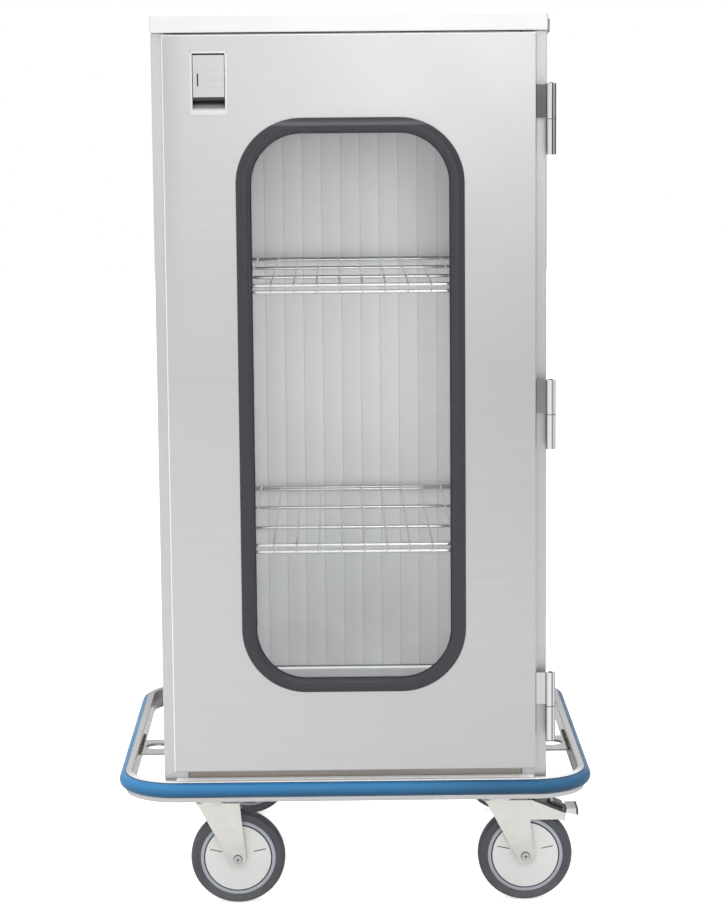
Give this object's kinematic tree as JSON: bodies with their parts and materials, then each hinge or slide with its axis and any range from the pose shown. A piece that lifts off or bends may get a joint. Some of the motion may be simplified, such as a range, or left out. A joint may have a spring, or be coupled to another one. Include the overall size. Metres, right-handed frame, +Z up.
{
  "type": "case cart",
  "caption": "Closed stainless case cart with a windowed door, wire shelves, a blue perimeter bumper and swivel casters.",
  "frame": {"origin": "on the floor under the middle of the bumper's plan", "axes": "+Z up, +X towards the hinge side, +Y towards the back; the door faces -Y"},
  "size_m": [0.786, 0.748, 1.4675],
  "materials": {
    "brushed_steel": "brushed stainless sheet",
    "brushed_door": "brushed stainless door face",
    "satin_steel": "satin stainless",
    "chrome_rail": "polished stainless rail",
    "blue_bumper": "smooth blue vinyl",
    "wire": "drawn wire",
    "hinge_steel": "polished stainless",
    "zinc_bolt": "bright fastener",
    "gasket_rubber": "moulded rubber",
    "seal_rubber": "soft rubber strip",
    "clear_pane": "clear flat pane",
    "latch_steel": "satin stainless",
    "caster_steel": "bright satin pressed steel",
    "rim_ring": "pale blue-grey moulded ring",
    "tyre_rubber": "dark grey non-marking rubber",
    "cap_plastic": "white moulded cap"
  },
  "bodies": {
    "cabinet": {"side_panel_left": "brushed_steel", "side_panel_right": "brushed_steel", "back_panel": "brushed_steel", "floor_pan": "brushed_steel", "top_cover": "brushed_steel", "front_sill": "brushed_steel", "header_rail": "brushed_steel", "chassis_cross_channels": "satin_steel", "chassis_side_channels": "satin_steel", "caster_pads": "satin_steel", "bumper_rail": "chrome_rail", "bumper_insert": "blue_bumper", "bumper_bracket_left": "satin_steel", "bumper_bracket_right": "satin_steel", "shelf_runners": "brushed_steel", "upper_shelf": "wire", "lower_shelf": "wire", "hinge_frame_leaves": "hinge_steel", "hinge_pins": "hinge_steel", "strike_plate": "satin_steel", "door_holdback": "satin_steel", "caster_bolts": "zinc_bolt", "caster_plate_fl": "caster_steel", "caster_plate_fr": "caster_steel", "caster_plate_rl": "caster_steel", "caster_plate_rr": "caster_steel"},
    "door": {"door_shell": "brushed_door", "door_liner": "brushed_steel", "window_gasket": "gasket_rubber", "window_pane": "clear_pane", "door_seal": "seal_rubber", "hinge_door_leaves": "hinge_steel", "latch_housing": "latch_steel"},
    "paddle": {"latch_paddle": "latch_steel"},
    "bolt": {"latch_bolt": "satin_steel"},
    "swivel_fl": {"fork_fl": "caster_steel", "axle_fl": "zinc_bolt"},
    "wheel_fl": {"rim_fl": "rim_ring", "tyre_fl": "tyre_rubber", "hub_caps_fl": "cap_plastic"},
    "swivel_fr": {"fork_fr": "caster_steel", "axle_fr": "zinc_bolt"},
    "wheel_fr": {"rim_fr": "rim_ring", "tyre_fr": "tyre_rubber", "hub_caps_fr": "cap_plastic"},
    "swivel_rl": {"fork_rl": "caster_steel", "axle_rl": "zinc_bolt"},
    "wheel_rl": {"rim_rl": "rim_ring", "tyre_rl": "tyre_rubber", "hub_caps_rl": "cap_plastic"},
    "swivel_rr": {"fork_rr": "caster_steel", "axle_rr": "zinc_bolt"},
    "wheel_rr": {"rim_rr": "rim_ring", "tyre_rr": "tyre_rubber", "hub_caps_rr": "cap_plastic"},
    "pedal_fr": {"brake_pedal_fr": "caster_steel"},
    "pedal_rl": {"brake_pedal_rl": "caster_steel"}
  },
  "joints": [
    {"name": "door_hinge", "type": "hinge", "parent": "cabinet", "child": "door", "pos_m": [0.3188, -0.365, 0.83], "axis": [0, 0, 1], "range_deg": [0, 265]},
    {"name": "latch_paddle_turn", "type": "hinge", "parent": "door", "child": "paddle", "pos_m": [-0.222, -0.3555, 1.3998], "axis": [-1, 0, 0], "range_deg": [0, 30], "stiffness_Nm_per_rad": 0.4, "springref_deg": -11.46},
    {"name": "latch_bolt_slide", "type": "slide", "parent": "door", "child": "bolt", "axis": [1, 0, 0], "range_m": [0, 0.012]},
    {"name": "swivel_fl", "type": "hinge", "parent": "cabinet", "child": "swivel_fl", "pos_m": [-0.24, -0.275, 0.17], "axis": [0, 0, 1], "continuous": true},
    {"name": "wheel_fl", "type": "hinge", "parent": "swivel_fl", "child": "wheel_fl", "pos_m": [-0.197, -0.275, 0.0786], "axis": [0, 1, 0], "continuous": true},
    {"name": "swivel_fr", "type": "hinge", "parent": "cabinet", "child": "swivel_fr", "pos_m": [0.24, -0.275, 0.17], "axis": [0, 0, 1], "continuous": true},
    {"name": "wheel_fr", "type": "hinge", "parent": "swivel_fr", "child": "wheel_fr", "pos_m": [0.283, -0.275, 0.0786], "axis": [0, 1, 0], "continuous": true},
    {"name": "swivel_rl", "type": "hinge", "parent": "cabinet", "child": "swivel_rl", "pos_m": [-0.24, 0.275, 0.17], "axis": [0, 0, 1], "continuous": true},
    {"name": "wheel_rl", "type": "hinge", "parent": "swivel_rl", "child": "wheel_rl", "pos_m": [-0.197, 0.275, 0.0786], "axis": [0, 1, 0], "continuous": true},
    {"name": "swivel_rr", "type": "hinge", "parent": "cabinet", "child": "swivel_rr", "pos_m": [0.24, 0.275, 0.17], "axis": [0, 0, 1], "continuous": true},
    {"name": "wheel_rr", "type": "hinge", "parent": "swivel_rr", "child": "wheel_rr", "pos_m": [0.283, 0.275, 0.0786], "axis": [0, 1, 0], "continuous": true},
    {"name": "brake_pedal_fr", "type": "hinge", "parent": "swivel_fr", "child": "pedal_fr", "pos_m": [0.295, -0.275, 0.1634], "axis": [0, -1, 0], "range_deg": [0, 12]},
    {"name": "brake_pedal_rl", "type": "hinge", "parent": "swivel_rl", "child": "pedal_rl", "pos_m": [-0.185, 0.275, 0.1634], "axis": [0, -1, 0], "range_deg": [0, 12]}
  ],
  "couplings": [
    {"joint": "latch_bolt_slide", "follows": "latch_paddle_turn", "m_per_rad": 0.0229}
  ]
}
